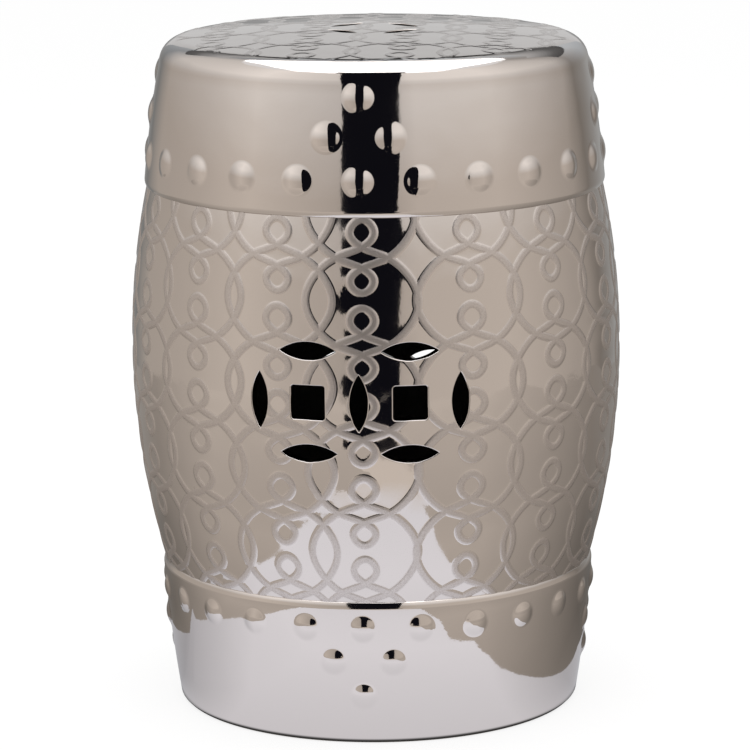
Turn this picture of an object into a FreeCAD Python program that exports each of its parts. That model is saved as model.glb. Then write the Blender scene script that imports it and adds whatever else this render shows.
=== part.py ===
import FreeCAD, Part
import math
import os

os.makedirs("parts", exist_ok=True)

# Ceramic garden stool, drum shaped, hollow and open underneath.
# Millimetres, +Z up, stands on Z = 0, and the front (one pierced motif) faces -Y.

# Heights of the pieces, from the floor up
FOOT_HEIGHT = 99.5
BARREL_HEIGHT = 257.0
SHOULDER_HEIGHT = 84.5
SEAT_CORNER_HEIGHT = 15.5
SEAT_CROWN = 5.0

# Outside radii of the barrel's ends, and how the bands step out and draw in from them
BARREL_BASE_R = 146.2
BARREL_TOP_R = 154.6
LIP_PROUD = 1.8
FOOT_FLARE = 10.6
SHOULDER_TAPER = 11.3
SEAT_CORNER_DEPTH = 15.1

# How far each side wall bulges past the straight line between its ends
FOOT_BULGE = 1.0
BARREL_BULGE = 15.8
SHOULDER_BULGE = 1.0

# Rounded lips, bevelled foot rim and wall
LIP_HEIGHT = 4.5
LIP_BULGE = 1.1
CORNER_FULLNESS = 0.27
RIM_BEVEL = 2.6
WALL = 7.0
SEAT_THICK = 9.0

# Domed studs: a row round each band, set in from the barrel, then a pair and an apex
# that point away from it
STUD_R = 10.4
STUD_RISE = 3.1
STUD_COUNT = 24
MOTIF_COUNT = 4
PENDANT_SPREAD = 7.9
SHOULDER_ROW_INSET = 23.5
SHOULDER_PAIR_STEP = 28.0
SHOULDER_APEX_STEP = 25.5
FOOT_ROW_INSET = 18.0
FOOT_PAIR_STEP = 22.0
FOOT_APEX_STEP = 23.5

# Double coin windows in the barrel, front and back
COIN_ABOVE_FOOT = 137.5
COIN_ANGLE = 11.6
PETAL_OFFSET = 34.0
SQUARE_SIDE = 22.5
SQUARE_CORNER_R = 1.8
PETAL_LENGTH = 37.5
PETAL_WIDTH = 11.6

# Raised trellis on the barrel: columns of many-sided rings, each crossing its
# neighbours. Rows are counted down from the barrel's top, and the strands stand on
# a few straight-sided turns that touch the bulging wall.
TRELLIS_COLUMNS = 16
TRELLIS_PHASE = 3.6
TRELLIS_ROWS = 6
TRELLIS_ROW_SHARE = 0.219
RING_SHARE = 0.63
RING_SIDES = 10
STRAND_WIDTH = 5.8
STRAND_RISE = 1.0
TRELLIS_SEAM = 5.0
TRELLIS_ABOVE_TOP = 3.3
TRELLIS_FLATS = 6

# Single coin of four slits in the seat
SEAT_PETAL_RING_R = 27.0
SEAT_PETAL_LENGTH = 30.0
SEAT_PETAL_WIDTH = 9.0

FOOT_TOP_Z = FOOT_HEIGHT
BARREL_TOP_Z = FOOT_TOP_Z + BARREL_HEIGHT
SHOULDER_TOP_Z = BARREL_TOP_Z + SHOULDER_HEIGHT
SEAT_EDGE_Z = SHOULDER_TOP_Z + SEAT_CORNER_HEIGHT
FOOT_LIP_R = BARREL_BASE_R + LIP_PROUD
FOOT_R = FOOT_LIP_R - FOOT_FLARE
SHOULDER_LIP_R = BARREL_TOP_R + LIP_PROUD
SHOULDER_TOP_R = SHOULDER_LIP_R - SHOULDER_TAPER
SEAT_EDGE_R = SHOULDER_TOP_R - SEAT_CORNER_DEPTH
SHOULDER_ROW_Z = BARREL_TOP_Z + SHOULDER_ROW_INSET
SHOULDER_PAIR_Z = SHOULDER_ROW_Z + SHOULDER_PAIR_STEP
SHOULDER_APEX_Z = SHOULDER_PAIR_Z + SHOULDER_APEX_STEP
FOOT_ROW_Z = FOOT_TOP_Z - FOOT_ROW_INSET
FOOT_PAIR_Z = FOOT_ROW_Z - FOOT_PAIR_STEP
FOOT_APEX_Z = FOOT_PAIR_Z - FOOT_APEX_STEP
COIN_Z = FOOT_TOP_Z + COIN_ABOVE_FOOT
STUD_PITCH = 360.0 / STUD_COUNT
MOTIF_PITCH = 360.0 / MOTIF_COUNT
BARREL_MID_R = (BARREL_BASE_R + BARREL_TOP_R) / 2 + BARREL_BULGE
CUT_DEPTH = 3 * WALL
TRELLIS_PITCH = 360.0 / TRELLIS_COLUMNS
TRELLIS_STEP = BARREL_HEIGHT * TRELLIS_ROW_SHARE
RING_R = TRELLIS_STEP * RING_SHARE


def pt(r, z):
    return FreeCAD.Vector(r, 0, z)


def line(a, b):
    return Part.makeLine(pt(*a), pt(*b))


def bulge(a, b, rise):
    """Arc from a to b in the radius-height plane, rising to the right of a to b."""
    dr = b[0] - a[0]
    dz = b[1] - a[1]
    span = math.hypot(dr, dz)
    mid = ((a[0] + b[0]) / 2 + rise * dz / span, (a[1] + b[1]) / 2 - rise * dr / span)
    return Part.Arc(pt(*a), pt(*mid), pt(*b)).toShape()


def turn(edges):
    """Closed radius-height outline turned once round the Z axis."""
    face = Part.Face(Part.Wire(Part.__sortEdges__(edges)))
    return face.revolve(FreeCAD.Vector(0, 0, 0), FreeCAD.Vector(0, 0, 1), 360)


# Corner points of the outside, shared by neighbouring pieces
RIM_OUT = (FOOT_R, RIM_BEVEL)
RIM_LOW = (FOOT_R - RIM_BEVEL, 0.0)
FOOT_LIP = (FOOT_LIP_R, FOOT_TOP_Z - LIP_HEIGHT)
FOOT_LEDGE = (BARREL_BASE_R, FOOT_TOP_Z)
BARREL_BASE = (BARREL_BASE_R, FOOT_TOP_Z)
BARREL_TOP = (BARREL_TOP_R, BARREL_TOP_Z)
SHOULDER_LIP = (SHOULDER_LIP_R, BARREL_TOP_Z + LIP_HEIGHT)
SHOULDER_TOP = (SHOULDER_TOP_R, SHOULDER_TOP_Z)
SEAT_EDGE = (SEAT_EDGE_R, SEAT_EDGE_Z)
SEAT_TOP = (0.0, SEAT_EDGE_Z + SEAT_CROWN)

# The same points on the inside of the wall
RIM_IN = (FOOT_R - WALL, RIM_BEVEL)
RIM_IN_LOW = (FOOT_R - WALL + RIM_BEVEL / 2, 0.0)
FOOT_IN = (BARREL_BASE_R - WALL, FOOT_TOP_Z)
BARREL_IN = (BARREL_TOP_R - WALL, BARREL_TOP_Z)
SHOULDER_IN = (SHOULDER_TOP_R - WALL, SHOULDER_TOP_Z)
SEAT_IN = (SEAT_EDGE_R - WALL / 2, SEAT_EDGE_Z - SEAT_THICK)
SEAT_UNDER = (0.0, SEAT_EDGE_Z - SEAT_THICK)


def foot_outside():
    return [line(RIM_LOW, RIM_OUT),
            bulge(RIM_OUT, FOOT_LIP, FOOT_BULGE),
            bulge(FOOT_LIP, FOOT_LEDGE, LIP_BULGE)]


def barrel_outside():
    return [bulge(BARREL_BASE, BARREL_TOP, BARREL_BULGE)]


def shoulder_outside():
    return [bulge(BARREL_TOP, SHOULDER_LIP, LIP_BULGE),
            bulge(SHOULDER_LIP, SHOULDER_TOP, SHOULDER_BULGE)]


def crown_arc(edge, top):
    """Half of the shallow dome over the seat, from its edge to the axis."""
    rise = top[1] - edge[1]
    radius = (edge[0] ** 2 + rise ** 2) / (2 * rise)
    half = math.asin(edge[0] / radius) / 2
    mid = (radius * math.sin(half), top[1] - radius * (1 - math.cos(half)))
    return Part.Arc(pt(*edge), pt(*mid), pt(*top)).toShape()


def seat_outside():
    corner = min(SEAT_CORNER_DEPTH, SEAT_CORNER_HEIGHT)
    return [bulge(SHOULDER_TOP, SEAT_EDGE, corner * CORNER_FULLNESS),
            crown_arc(SEAT_EDGE, SEAT_TOP)]


def foot_band():
    inside = [line(FOOT_LEDGE, FOOT_IN), line(FOOT_IN, RIM_IN),
              line(RIM_IN, RIM_IN_LOW), line(RIM_IN_LOW, RIM_LOW)]
    return turn(foot_outside() + inside)


def shoulder_band():
    inside = [line(SHOULDER_TOP, SHOULDER_IN), line(SHOULDER_IN, BARREL_IN),
              line(BARREL_IN, BARREL_TOP)]
    return turn(shoulder_outside() + inside)


def barrel_blank():
    inside = [line(BARREL_TOP, BARREL_IN), bulge(FOOT_IN, BARREL_IN, BARREL_BULGE),
              line(FOOT_IN, BARREL_BASE)]
    return turn(barrel_outside() + inside)


def seat_blank():
    inside = [line(SHOULDER_IN, SHOULDER_TOP), line(SHOULDER_IN, SEAT_IN),
              line(SEAT_IN, SEAT_UNDER), line(SEAT_UNDER, SEAT_TOP)]
    return turn(seat_outside() + inside)


def petal_prism(length, width, depth):
    """Leaf shape between two arcs, long way along X, pushed along Z by depth."""
    a = FreeCAD.Vector(-length / 2, 0, -depth / 2)
    b = FreeCAD.Vector(length / 2, 0, -depth / 2)
    up = FreeCAD.Vector(0, width / 2, -depth / 2)
    down = FreeCAD.Vector(0, -width / 2, -depth / 2)
    wire = Part.Wire([Part.Arc(a, up, b).toShape(), Part.Arc(b, down, a).toShape()])
    return Part.Face(wire).extrude(FreeCAD.Vector(0, 0, depth))


def square_prism(side, corner, depth):
    """Square with rounded corners, pushed along Z by depth."""
    box = Part.makeBox(side, side, depth, FreeCAD.Vector(-side / 2, -side / 2, -depth / 2))
    upright = [e for e in box.Edges if abs(e.Vertexes[0].Z - e.Vertexes[1].Z) > depth / 2]
    return box.makeFillet(corner, upright)


def on_wall(tool, angle, z, upright):
    """Stand a Z-facing cutter in the barrel wall at this angle from the front."""
    tool = tool.copy()
    if upright:
        tool.rotate(FreeCAD.Vector(0, 0, 0), FreeCAD.Vector(0, 0, 1), 90)
    tool.rotate(FreeCAD.Vector(0, 0, 0), FreeCAD.Vector(1, 0, 0), 90)
    tool.translate(FreeCAD.Vector(0, -(BARREL_MID_R - WALL / 2), z))
    tool.rotate(FreeCAD.Vector(0, 0, 0), FreeCAD.Vector(0, 0, 1), angle)
    return tool


def window_cutters():
    """Two coins side by side: a square each, petals round it, one petal shared."""
    petal = petal_prism(PETAL_LENGTH, PETAL_WIDTH, CUT_DEPTH)
    square = square_prism(SQUARE_SIDE, SQUARE_CORNER_R, CUT_DEPTH)
    tools = []
    for face_angle in (0, 180):
        for side in (-1, 1):
            angle = face_angle + side * COIN_ANGLE
            tools.append(on_wall(square, angle, COIN_Z, False))
            tools.append(on_wall(petal, angle, COIN_Z + PETAL_OFFSET, False))
            tools.append(on_wall(petal, angle, COIN_Z - PETAL_OFFSET, False))
        for step in (-2, 0, 2):
            tools.append(on_wall(petal, face_angle + step * COIN_ANGLE, COIN_Z, True))
    return tools


def barrel_wall():
    return barrel_blank().cut(Part.makeCompound(window_cutters()))


def ring_outline(radius):
    """Upright many-sided outline round the origin, facing -Y."""
    corners = []
    for i in range(RING_SIDES + 1):
        angle = 2 * math.pi * (i + 0.5) / RING_SIDES
        corners.append(FreeCAD.Vector(radius * math.cos(angle), 0, radius * math.sin(angle)))
    return Part.Wire(Part.makePolygon(corners))


def ring_prism(z):
    """Many-sided ring that reaches from outside the barrel to behind its front."""
    outer = Part.Face(ring_outline(RING_R + STRAND_WIDTH / 2))
    inner = Part.Face(ring_outline(RING_R - STRAND_WIDTH / 2))
    depth = BARREL_MID_R - BARREL_BASE_R + 2 * WALL
    ring = outer.cut(inner).extrude(FreeCAD.Vector(0, depth, 0))
    ring.translate(FreeCAD.Vector(0, -BARREL_MID_R - WALL / 2, z))
    return ring


def tangent_chain(rise):
    """Straight lines round the barrel's profile, raised by rise, from bottom to top."""
    dr = BARREL_TOP_R - BARREL_BASE_R
    span = math.hypot(dr, BARREL_HEIGHT)
    radius = (span ** 2 / 4 + BARREL_BULGE ** 2) / (2 * BARREL_BULGE)
    lean = math.atan2(-dr, BARREL_HEIGHT)
    half = math.asin(span / 2 / radius)
    back = radius - BARREL_BULGE
    mid_r = (BARREL_BASE_R + BARREL_TOP_R) / 2 - back * math.cos(lean)
    mid_z = (FOOT_TOP_Z + BARREL_TOP_Z) / 2 - back * math.sin(lean)
    step = 2 * half / TRELLIS_FLATS
    turns = [-half + step * (i + 0.5) for i in range(TRELLIS_FLATS)]
    corner_r = (radius + rise) / math.cos(step / 2)
    corners = [(mid_r + corner_r * math.cos(lean + t), mid_z + corner_r * math.sin(lean + t))
               for t in turns]
    return [(BARREL_BASE_R + rise, FOOT_TOP_Z), *corners, (BARREL_TOP_R + rise, BARREL_TOP_Z)]


def trellis_layer():
    """Slice of the layer that the strands stand in, one column wide."""
    corners = tangent_chain(0) + tangent_chain(STRAND_RISE)[::-1]
    face = Part.Face(Part.makePolygon([pt(*c) for c in corners + corners[:1]]))
    face.rotate(FreeCAD.Vector(0, 0, 0), FreeCAD.Vector(0, 0, 1),
                TRELLIS_SEAM - TRELLIS_PITCH / 2 - 90)
    return face.revolve(FreeCAD.Vector(0, 0, 0), FreeCAD.Vector(0, 0, 1), TRELLIS_PITCH)


def barrel_trellis():
    """One column cut from the net of rings, set round the barrel, with the windows open."""
    rings = []
    for row in range(TRELLIS_ROWS):
        ring = ring_prism(BARREL_TOP_Z + TRELLIS_ABOVE_TOP - row * TRELLIS_STEP)
        rings += copies(ring, (0, TRELLIS_PITCH))
    net = rings[0].multiFuse(rings[1:])
    column = trellis_layer().common(net)
    angles = [TRELLIS_PHASE + i * TRELLIS_PITCH for i in range(TRELLIS_COLUMNS)]
    whole = Part.makeCompound(copies(column, angles))
    return whole.cut(Part.makeCompound(window_cutters()))


def seat_slab():
    petal = petal_prism(SEAT_PETAL_LENGTH, SEAT_PETAL_WIDTH, 2 * SEAT_CROWN + 4 * SEAT_THICK)
    tools = []
    for step in range(4):
        tool = petal.copy()
        tool.translate(FreeCAD.Vector(0, -SEAT_PETAL_RING_R, SEAT_EDGE_Z))
        tool.rotate(FreeCAD.Vector(0, 0, 0), FreeCAD.Vector(0, 0, 1), 45 + 90 * step)
        tools.append(tool)
    return seat_blank().cut(Part.makeCompound(tools))


def wall_r(z, low, high, rise):
    """Outside radius at height z of a side wall that runs from low to high."""
    t = (z - low[1]) / (high[1] - low[1])
    return low[0] + t * (high[0] - low[0]) + 4 * rise * t * (1 - t)


def stud(z, low, high, rise):
    """Dome on the front of a side wall, square to it, its back cut by the cone
    that touches the wall at this height."""
    reach = 2 * STUD_R
    r = wall_r(z, low, high, rise)
    slope = (wall_r(z + 1, low, high, rise) - wall_r(z - 1, low, high, rise)) / 2
    foot = (r - slope * reach, z - reach)
    top = (r + slope * reach, z + reach)
    wall = turn([line((0.0, foot[1]), foot), line(foot, top), line(top, (0.0, top[1])),
                 line((0.0, top[1]), (0.0, foot[1]))])
    ball_r = (STUD_R ** 2 + STUD_RISE ** 2) / (2 * STUD_RISE)
    sunk = (ball_r - STUD_RISE) / math.hypot(1, slope)
    centre = FreeCAD.Vector(0, sunk - r, z + sunk * slope)
    ball = Part.makeSphere(ball_r, centre, FreeCAD.Vector(0, -1, -slope))
    return ball.cut(wall).Solids[0]


def copies(shape, angles):
    out = []
    for angle in angles:
        one = shape.copy()
        one.rotate(FreeCAD.Vector(0, 0, 0), FreeCAD.Vector(0, 0, 1), angle)
        out.append(one)
    return out


def stud_row(z, low, high, rise):
    one = stud(z, low, high, rise)
    return Part.makeCompound(copies(one, [i * STUD_PITCH for i in range(STUD_COUNT)]))


def stud_pendants(pair_z, apex_z, low, high, rise):
    """Pair and apex that finish each triangle of studs, on four sides."""
    pair = stud(pair_z, low, high, rise)
    apex = stud(apex_z, low, high, rise)
    studs = []
    for i in range(MOTIF_COUNT):
        angle = i * MOTIF_PITCH
        studs += copies(pair, (angle - PENDANT_SPREAD, angle + PENDANT_SPREAD))
        studs += copies(apex, (angle,))
    return Part.makeCompound(studs)


def main():
    shoulder = (SHOULDER_LIP, SHOULDER_TOP, SHOULDER_BULGE)
    foot = (RIM_OUT, FOOT_LIP, FOOT_BULGE)
    shapes = {
        "foot_band": foot_band(),
        "barrel_wall": barrel_wall(),
        "barrel_trellis": barrel_trellis(),
        "shoulder_band": shoulder_band(),
        "seat_slab": seat_slab(),
        "shoulder_stud_row": stud_row(SHOULDER_ROW_Z, *shoulder),
        "shoulder_stud_pendants": stud_pendants(SHOULDER_PAIR_Z, SHOULDER_APEX_Z, *shoulder),
        "foot_stud_row": stud_row(FOOT_ROW_Z, *foot),
        "foot_stud_pendants": stud_pendants(FOOT_PAIR_Z, FOOT_APEX_Z, *foot),
    }
    for name, shape in shapes.items():
        print(name, "valid:", shape.isValid(), "solids:", len(shape.Solids),
              "cm3:", round(shape.Volume / 1000, 1))
        shape.exportStep("parts/" + name + ".step")


main()
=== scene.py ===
import math

import bpy
import numpy as np
from mathutils import Matrix, Vector, kdtree
from mathutils.geometry import delaunay_2d_cdt


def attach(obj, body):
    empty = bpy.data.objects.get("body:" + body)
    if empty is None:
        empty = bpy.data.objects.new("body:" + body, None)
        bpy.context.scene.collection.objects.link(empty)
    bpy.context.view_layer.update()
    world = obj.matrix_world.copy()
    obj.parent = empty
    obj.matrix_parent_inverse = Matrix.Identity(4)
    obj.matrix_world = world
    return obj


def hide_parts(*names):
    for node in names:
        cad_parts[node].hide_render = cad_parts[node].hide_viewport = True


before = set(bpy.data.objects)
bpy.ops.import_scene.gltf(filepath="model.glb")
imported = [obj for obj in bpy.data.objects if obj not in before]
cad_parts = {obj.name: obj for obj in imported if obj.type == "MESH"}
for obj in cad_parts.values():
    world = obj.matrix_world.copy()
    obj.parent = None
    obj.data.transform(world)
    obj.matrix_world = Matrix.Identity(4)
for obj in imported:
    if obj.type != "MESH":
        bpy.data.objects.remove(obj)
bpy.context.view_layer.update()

# Millimetres until a mesh is made. +Z up, floor at 0, front at -Y.
MM = 0.001

# Outside corner points (radius, height) and bulges of the walls
RIM_LOW = (134.8, 0.0)
RIM_OUT = (137.4, 2.6)
FOOT_LIP = (148.0, 95.0)
BARREL_BASE = (146.2, 99.5)
BARREL_TOP = (154.6, 356.5)
SHOULDER_LIP = (156.4, 361.0)
SHOULDER_TOP = (145.1, 441.0)
SEAT_EDGE = (130.0, 456.5)
SEAT_TOP_Z = 461.5
SEAT_UNDER_Z = 447.5
BARREL_BULGE = 15.8
BAND_BULGE = 1.0
LIP_REACH = 3.2
LIP_ROLL = 0.36
CORNER_BULGE = 4.08
WALL = 7.0

# Studs, and their heights on each band: the row, the pendant's pair and its apex
SHOULDER_STUD_R = 9.3
FOOT_STUD_R = 8.2
STUD_RISE = 2.2
STUD_POWER = 2.15
STUD_COUNT = 24
STUD_FILLET = 0.8
PENDANT_SPREAD = 7.9
SHOULDER_STUD_Z = (380.0, 408.0, 433.5)
FOOT_STUD_Z = (81.0, 58.0, 34.0)

# Windows in the barrel and slits in the seat
COIN_Z = 237.0
COIN_ANGLE = 11.6
PETAL_OFFSET = 34.0
SQUARE_SIDE = 22.5
SQUARE_CORNER_R = 1.8
PETAL_LENGTH = 37.5
PETAL_WIDTH = 11.6
SLIT_RING_R = 27.0
SLIT_LENGTH = 30.0
SLIT_WIDTH = 9.0
EDGE_R = 0.9
SLIT_EDGE_R = 0.35

# Raised trellis. One closed line makes a cell: a loop on top, two wide sides, a loop below.
# Its right half runs down from the top loop and crosses over twice.
UNROLL_R = 160.0
BAND_TOP_HALF = 0.9
BAND_FOOT_HALF = 3.3
BAND_RISE = 0.48
SEAT_BAND_RISE = 0.32
SEAT_SATIN = 0.4
SATIN_HALF = (2.0, 3.0)
POOL_SHARE = 0.22
POOL_REACH = 2.2
POOL_POWER = 1.5
CELL_HALF = [(0, 24.3), (7.8, 16.5), (0, 6.9), (-16.5, 0), (-30, -12), (-36, -28),
             (-30, -44), (-16.5, -56.3), (0, -62.8), (7.5, -71.5), (0, -78.7)]
CELL_PITCH = 56.3
TOP_NODE_Z = 387.8
CELL_ROWS = 6
COLUMN_COUNT = 16
COLUMN_PITCH = 360.0 / COLUMN_COUNT
COLUMN_PHASE = 3.6
COLUMN_SHIFTS = {0: -2.7, 1: 0.1, 2: 0.5, 3: 1.6, -1: 0.2, -2: 0.6}
LEFT_LEAN = 2.4
LEAN_Z = (250.0, 110.0)
BARREL_OVERLAP = 2.5
SEAT_COLUMNS = [-168.0, -104.0, -39.0, 25.0, 86.0, 150.0]
SEAT_NODE_Y = 150.0
SEAT_ROWS = 7
SEAT_SHEET_R = 136.0
SEAT_FADE = (130.5, 135.5)


def smooth_step(t):
    t = np.clip(t, 0.0, 1.0)
    return t * t * (3.0 - 2.0 * t)


def unit(vectors):
    return vectors / np.linalg.norm(vectors, axis=1, keepdims=True)


def column(values):
    return np.reshape(values, (-1, 1))


class Arc:
    """Arc in the radius-height plane from low to high, bulging outward by rise."""

    def __init__(self, low, high, rise):
        span = math.dist(low, high)
        self.radius = (span ** 2 / 4 + rise ** 2) / (2 * rise)
        back = self.radius - rise
        out = ((high[1] - low[1]) / span, (low[0] - high[0]) / span)
        self.r = (low[0] + high[0]) / 2 - out[0] * back
        self.z = (low[1] + high[1]) / 2 - out[1] * back
        self.ends = (low, high)

    def at(self, z):
        """Radius at height z, and the outward direction there."""
        up = (z - self.z) / self.radius
        across = np.sqrt(1 - up * up)
        return self.r + self.radius * across, across, up

    def points(self, count):
        a = math.atan2(self.ends[0][1] - self.z, self.ends[0][0] - self.r)
        b = math.atan2(self.ends[1][1] - self.z, self.ends[1][0] - self.r)
        turn = np.linspace(a, b, count)
        return np.stack([self.r + self.radius * np.cos(turn),
                         self.z + self.radius * np.sin(turn)], 1)


BARREL = Arc(BARREL_BASE, BARREL_TOP, BARREL_BULGE)
SHOULDER = Arc(SHOULDER_LIP, SHOULDER_TOP, BAND_BULGE)
FOOT = Arc(RIM_OUT, FOOT_LIP, BAND_BULGE)


def on_wall(arc, angle, z, height=0.0, slope=None):
    """Points and normals on a turned wall, raised by height, whose slope is
    given along the girth and up the wall."""
    r, across, up = arc.at(z)
    s = np.sin(angle)
    c = np.cos(angle)
    place = np.stack([(r + height * across) * s, -(r + height * across) * c, z + height * up], 1)
    normal = np.stack([across * s, -across * c, up], 1)
    if slope is not None:
        girth = np.stack([c, s, 0 * s], 1)
        climb = np.stack([-up * s, up * c, across], 1)
        normal = normal - slope[:, :1] * girth - slope[:, 1:] * climb
    return place, unit(normal)


class Parts:
    """Gathers vertices and faces of several surfaces into one mesh."""

    def __init__(self):
        self.points = []
        self.normals = []
        self.carved = []
        self.faces = []
        self.slots = []
        self.count = 0

    def add(self, points, normals, faces, carved=None, slot=0):
        base = self.count
        self.points.append(points)
        self.normals.append(normals)
        self.carved.append(np.zeros(len(points)) if carved is None else carved)
        self.faces += [[i + base for i in f] for f in faces]
        self.slots += [slot] * len(faces)
        self.count += len(points)

    def add_rows(self, rows):
        """Closed rows of points, each with its normals, joined by quads."""
        points = np.vstack([row[0] for row in rows])
        normals = np.vstack([row[1] for row in rows])
        self.add(points, normals, stitch(len(rows[0][0]), len(rows)))

    def make(self, name, materials, nodes):
        """One mesh object, riding on the body and standing for its nodes."""
        mesh = bpy.data.meshes.new(name)
        mesh.from_pydata((np.vstack(self.points) * MM).tolist(), [], self.faces)
        mesh.shade_smooth()
        mesh.normals_split_custom_set_from_vertices(np.vstack(self.normals).tolist())
        mark = mesh.attributes.new("carved", "FLOAT", "POINT")
        mark.data.foreach_set("value", np.concatenate(self.carved).astype(np.float32))
        for material in materials:
            mesh.materials.append(material)
        mesh.polygons.foreach_set("material_index", self.slots)
        piece = bpy.data.objects.new(name, mesh)
        bpy.context.scene.collection.objects.link(piece)
        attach(piece, "root")
        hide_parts(*nodes)


# Camera

CAMERA_TURN = 4.0
CAMERA_DISTANCE = 2.6836
CAMERA_HEIGHT = 0.77275
CAMERA_PITCH = 0.2024
CAMERA_ROLL = 0.0084
FOCAL_PIXELS = 3985.5
PICTURE_PIXELS = 750
SHIFT_PIXELS = -1.33
SENSOR_WIDTH = 36.0


def add_camera():
    turn = math.radians(CAMERA_TURN)
    back = Vector((math.sin(turn), -math.cos(turn), 0))
    level = Vector((math.cos(turn), math.sin(turn), 0))
    ahead = -back * math.cos(CAMERA_PITCH) - Vector((0, 0, math.sin(CAMERA_PITCH)))
    upright = level.cross(ahead)
    right = level * math.cos(CAMERA_ROLL) - upright * math.sin(CAMERA_ROLL)
    up = upright * math.cos(CAMERA_ROLL) + level * math.sin(CAMERA_ROLL)
    spot = back * CAMERA_DISTANCE + Vector((0, 0, CAMERA_HEIGHT))
    data = bpy.data.cameras.new("camera")
    data.sensor_width = SENSOR_WIDTH
    data.lens = SENSOR_WIDTH * FOCAL_PIXELS / PICTURE_PIXELS
    data.shift_x = SHIFT_PIXELS / PICTURE_PIXELS
    camera = bpy.data.objects.new("camera", data)
    camera.matrix_world = Matrix(((right.x, up.x, -ahead.x, spot.x),
                                  (right.y, up.y, -ahead.y, spot.y),
                                  (right.z, up.z, -ahead.z, spot.z),
                                  (0, 0, 0, 1)))
    bpy.context.scene.collection.objects.link(camera)
    bpy.context.scene.camera = camera


# Materials

def opaque(colour):
    """Colour or single grey as a colour with full alpha."""
    return (*colour, 1.0) if isinstance(colour, tuple) else (colour, colour, colour, 1.0)


class Shading:
    """Material in the making, with short ways to add its nodes."""

    def __init__(self, name):
        self.material = bpy.data.materials.new(name)
        self.material.use_nodes = True
        self.tree = self.material.node_tree
        self.tree.nodes.clear()
        self.place = self.add("ShaderNodeTexCoord").outputs["Object"]

    def add(self, kind):
        return self.tree.nodes.new(kind)

    def feed(self, node, inputs):
        """Links or sets the node's inputs, by name or number, and returns its outputs."""
        for key, value in inputs.items():
            if isinstance(value, bpy.types.NodeSocket):
                self.tree.links.new(value, node.inputs[key])
            else:
                node.inputs[key].default_value = value
        return node.outputs

    def noise(self, scale, detail):
        inputs = {"Vector": self.place, "Scale": scale, "Detail": detail}
        return self.feed(self.add("ShaderNodeTexNoise"), inputs)["Fac"]

    def remap(self, value, *bounds):
        inputs = dict(zip(("From Min", "From Max", "To Min", "To Max"), bounds))
        inputs["Value"] = value
        return self.feed(self.add("ShaderNodeMapRange"), inputs)["Result"]

    def operate(self, kind, a, b):
        node = self.add("ShaderNodeMath")
        node.operation = kind
        return self.feed(node, {0: a, 1: b})[0]

    def measure(self, kind, *vectors):
        """Length of a vector, or distance between two."""
        node = self.add("ShaderNodeVectorMath")
        node.operation = kind
        return self.feed(node, dict(enumerate(vectors)))["Value"]

    def bump(self, height, distance, strength, under=None):
        inputs = {"Height": height, "Distance": distance, "Strength": strength}
        if under is not None:
            inputs["Normal"] = under
        return self.feed(self.add("ShaderNodeBump"), inputs)["Normal"]

    def mix_values(self, share, low, high):
        return self.feed(self.add("ShaderNodeMix"), {0: share, 2: low, 3: high})[0]

    def mix_colours(self, share, low, high, way="MIX"):
        node = self.add("ShaderNodeMix")
        node.data_type = "RGBA"
        node.blend_type = way
        return self.feed(node, {0: share, 6: low, 7: high})[2]

    def mix_shaders(self, share, low, high):
        return self.feed(self.add("ShaderNodeMixShader"), {0: share, 1: low, 2: high})[0]

    def ramp(self, value, stops):
        """Colour that runs through the stops, each a value and a colour or a grey."""
        low = stops[0][0]
        high = stops[-1][0]
        node = self.add("ShaderNodeValToRGB")
        marks = node.color_ramp.elements
        marks.remove(marks[1])
        marks[0].position = 0.0
        marks[0].color = opaque(stops[0][1])
        for at, colour in stops[1:]:
            mark = marks.new((at - low) / (high - low))
            mark.color = opaque(colour)
        return self.feed(node, {"Fac": self.remap(value, low, high, 0.0, 1.0)})["Color"]

    def surface(self, kind, inputs):
        return self.feed(self.add(kind), inputs)[0]

    def finish(self, surface):
        self.feed(self.add("ShaderNodeOutputMaterial"), {"Surface": surface})
        return self.material


GLAZE_COLOUR = (0.66, 0.62, 0.60, 1.0)
GLAZE_WORN_COLOUR = (0.54, 0.50, 0.485, 1.0)
# Inside clay, nearly black: a dark clay tone with painted shade of the enclosed hollow
SHADED_CLAY_DARK = (0.055, 0.048, 0.042, 1.0)
SHADED_CLAY_LIGHT = (0.10, 0.088, 0.076, 1.0)
CLAY_SPAN = (0.35, 0.7)
CLAY_ROUGHNESS = 0.85

# Noises, each with its scale per metre and its detail
SPECKLE = (1500.0, 3.0)
PORES = (420.0, 2.0)
WAVES = (32.0, 1.0)
CLOUDS = (24.0, 2.0)
GROG = (600.0, 4.0)
STAIN = (30.0, 3.0)

# Roughness of the satin strands and of the mirror between them, and how worn the satin looks,
# each with the span of noise that it follows
SATIN_ROUGHNESS = (0.38, 0.48)
SATIN_SPAN = (0.35, 0.65)
MIRROR_ROUGHNESS = (0.03, 0.07)
MIRROR_SPAN = (0.3, 0.7)
WORN_SHARE = (0.4, 1.0)
WORN_SPAN = (0.4, 0.62)

# Depths of the bumps in metres, and how strongly they show
WAVE_BUMP = (0.0011, 0.35)
PORE_BUMP = (0.00012, 0.10)
GROG_BUMP = (0.0004, 0.5)
GRAIN_DEPTH = 0.000012


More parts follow.
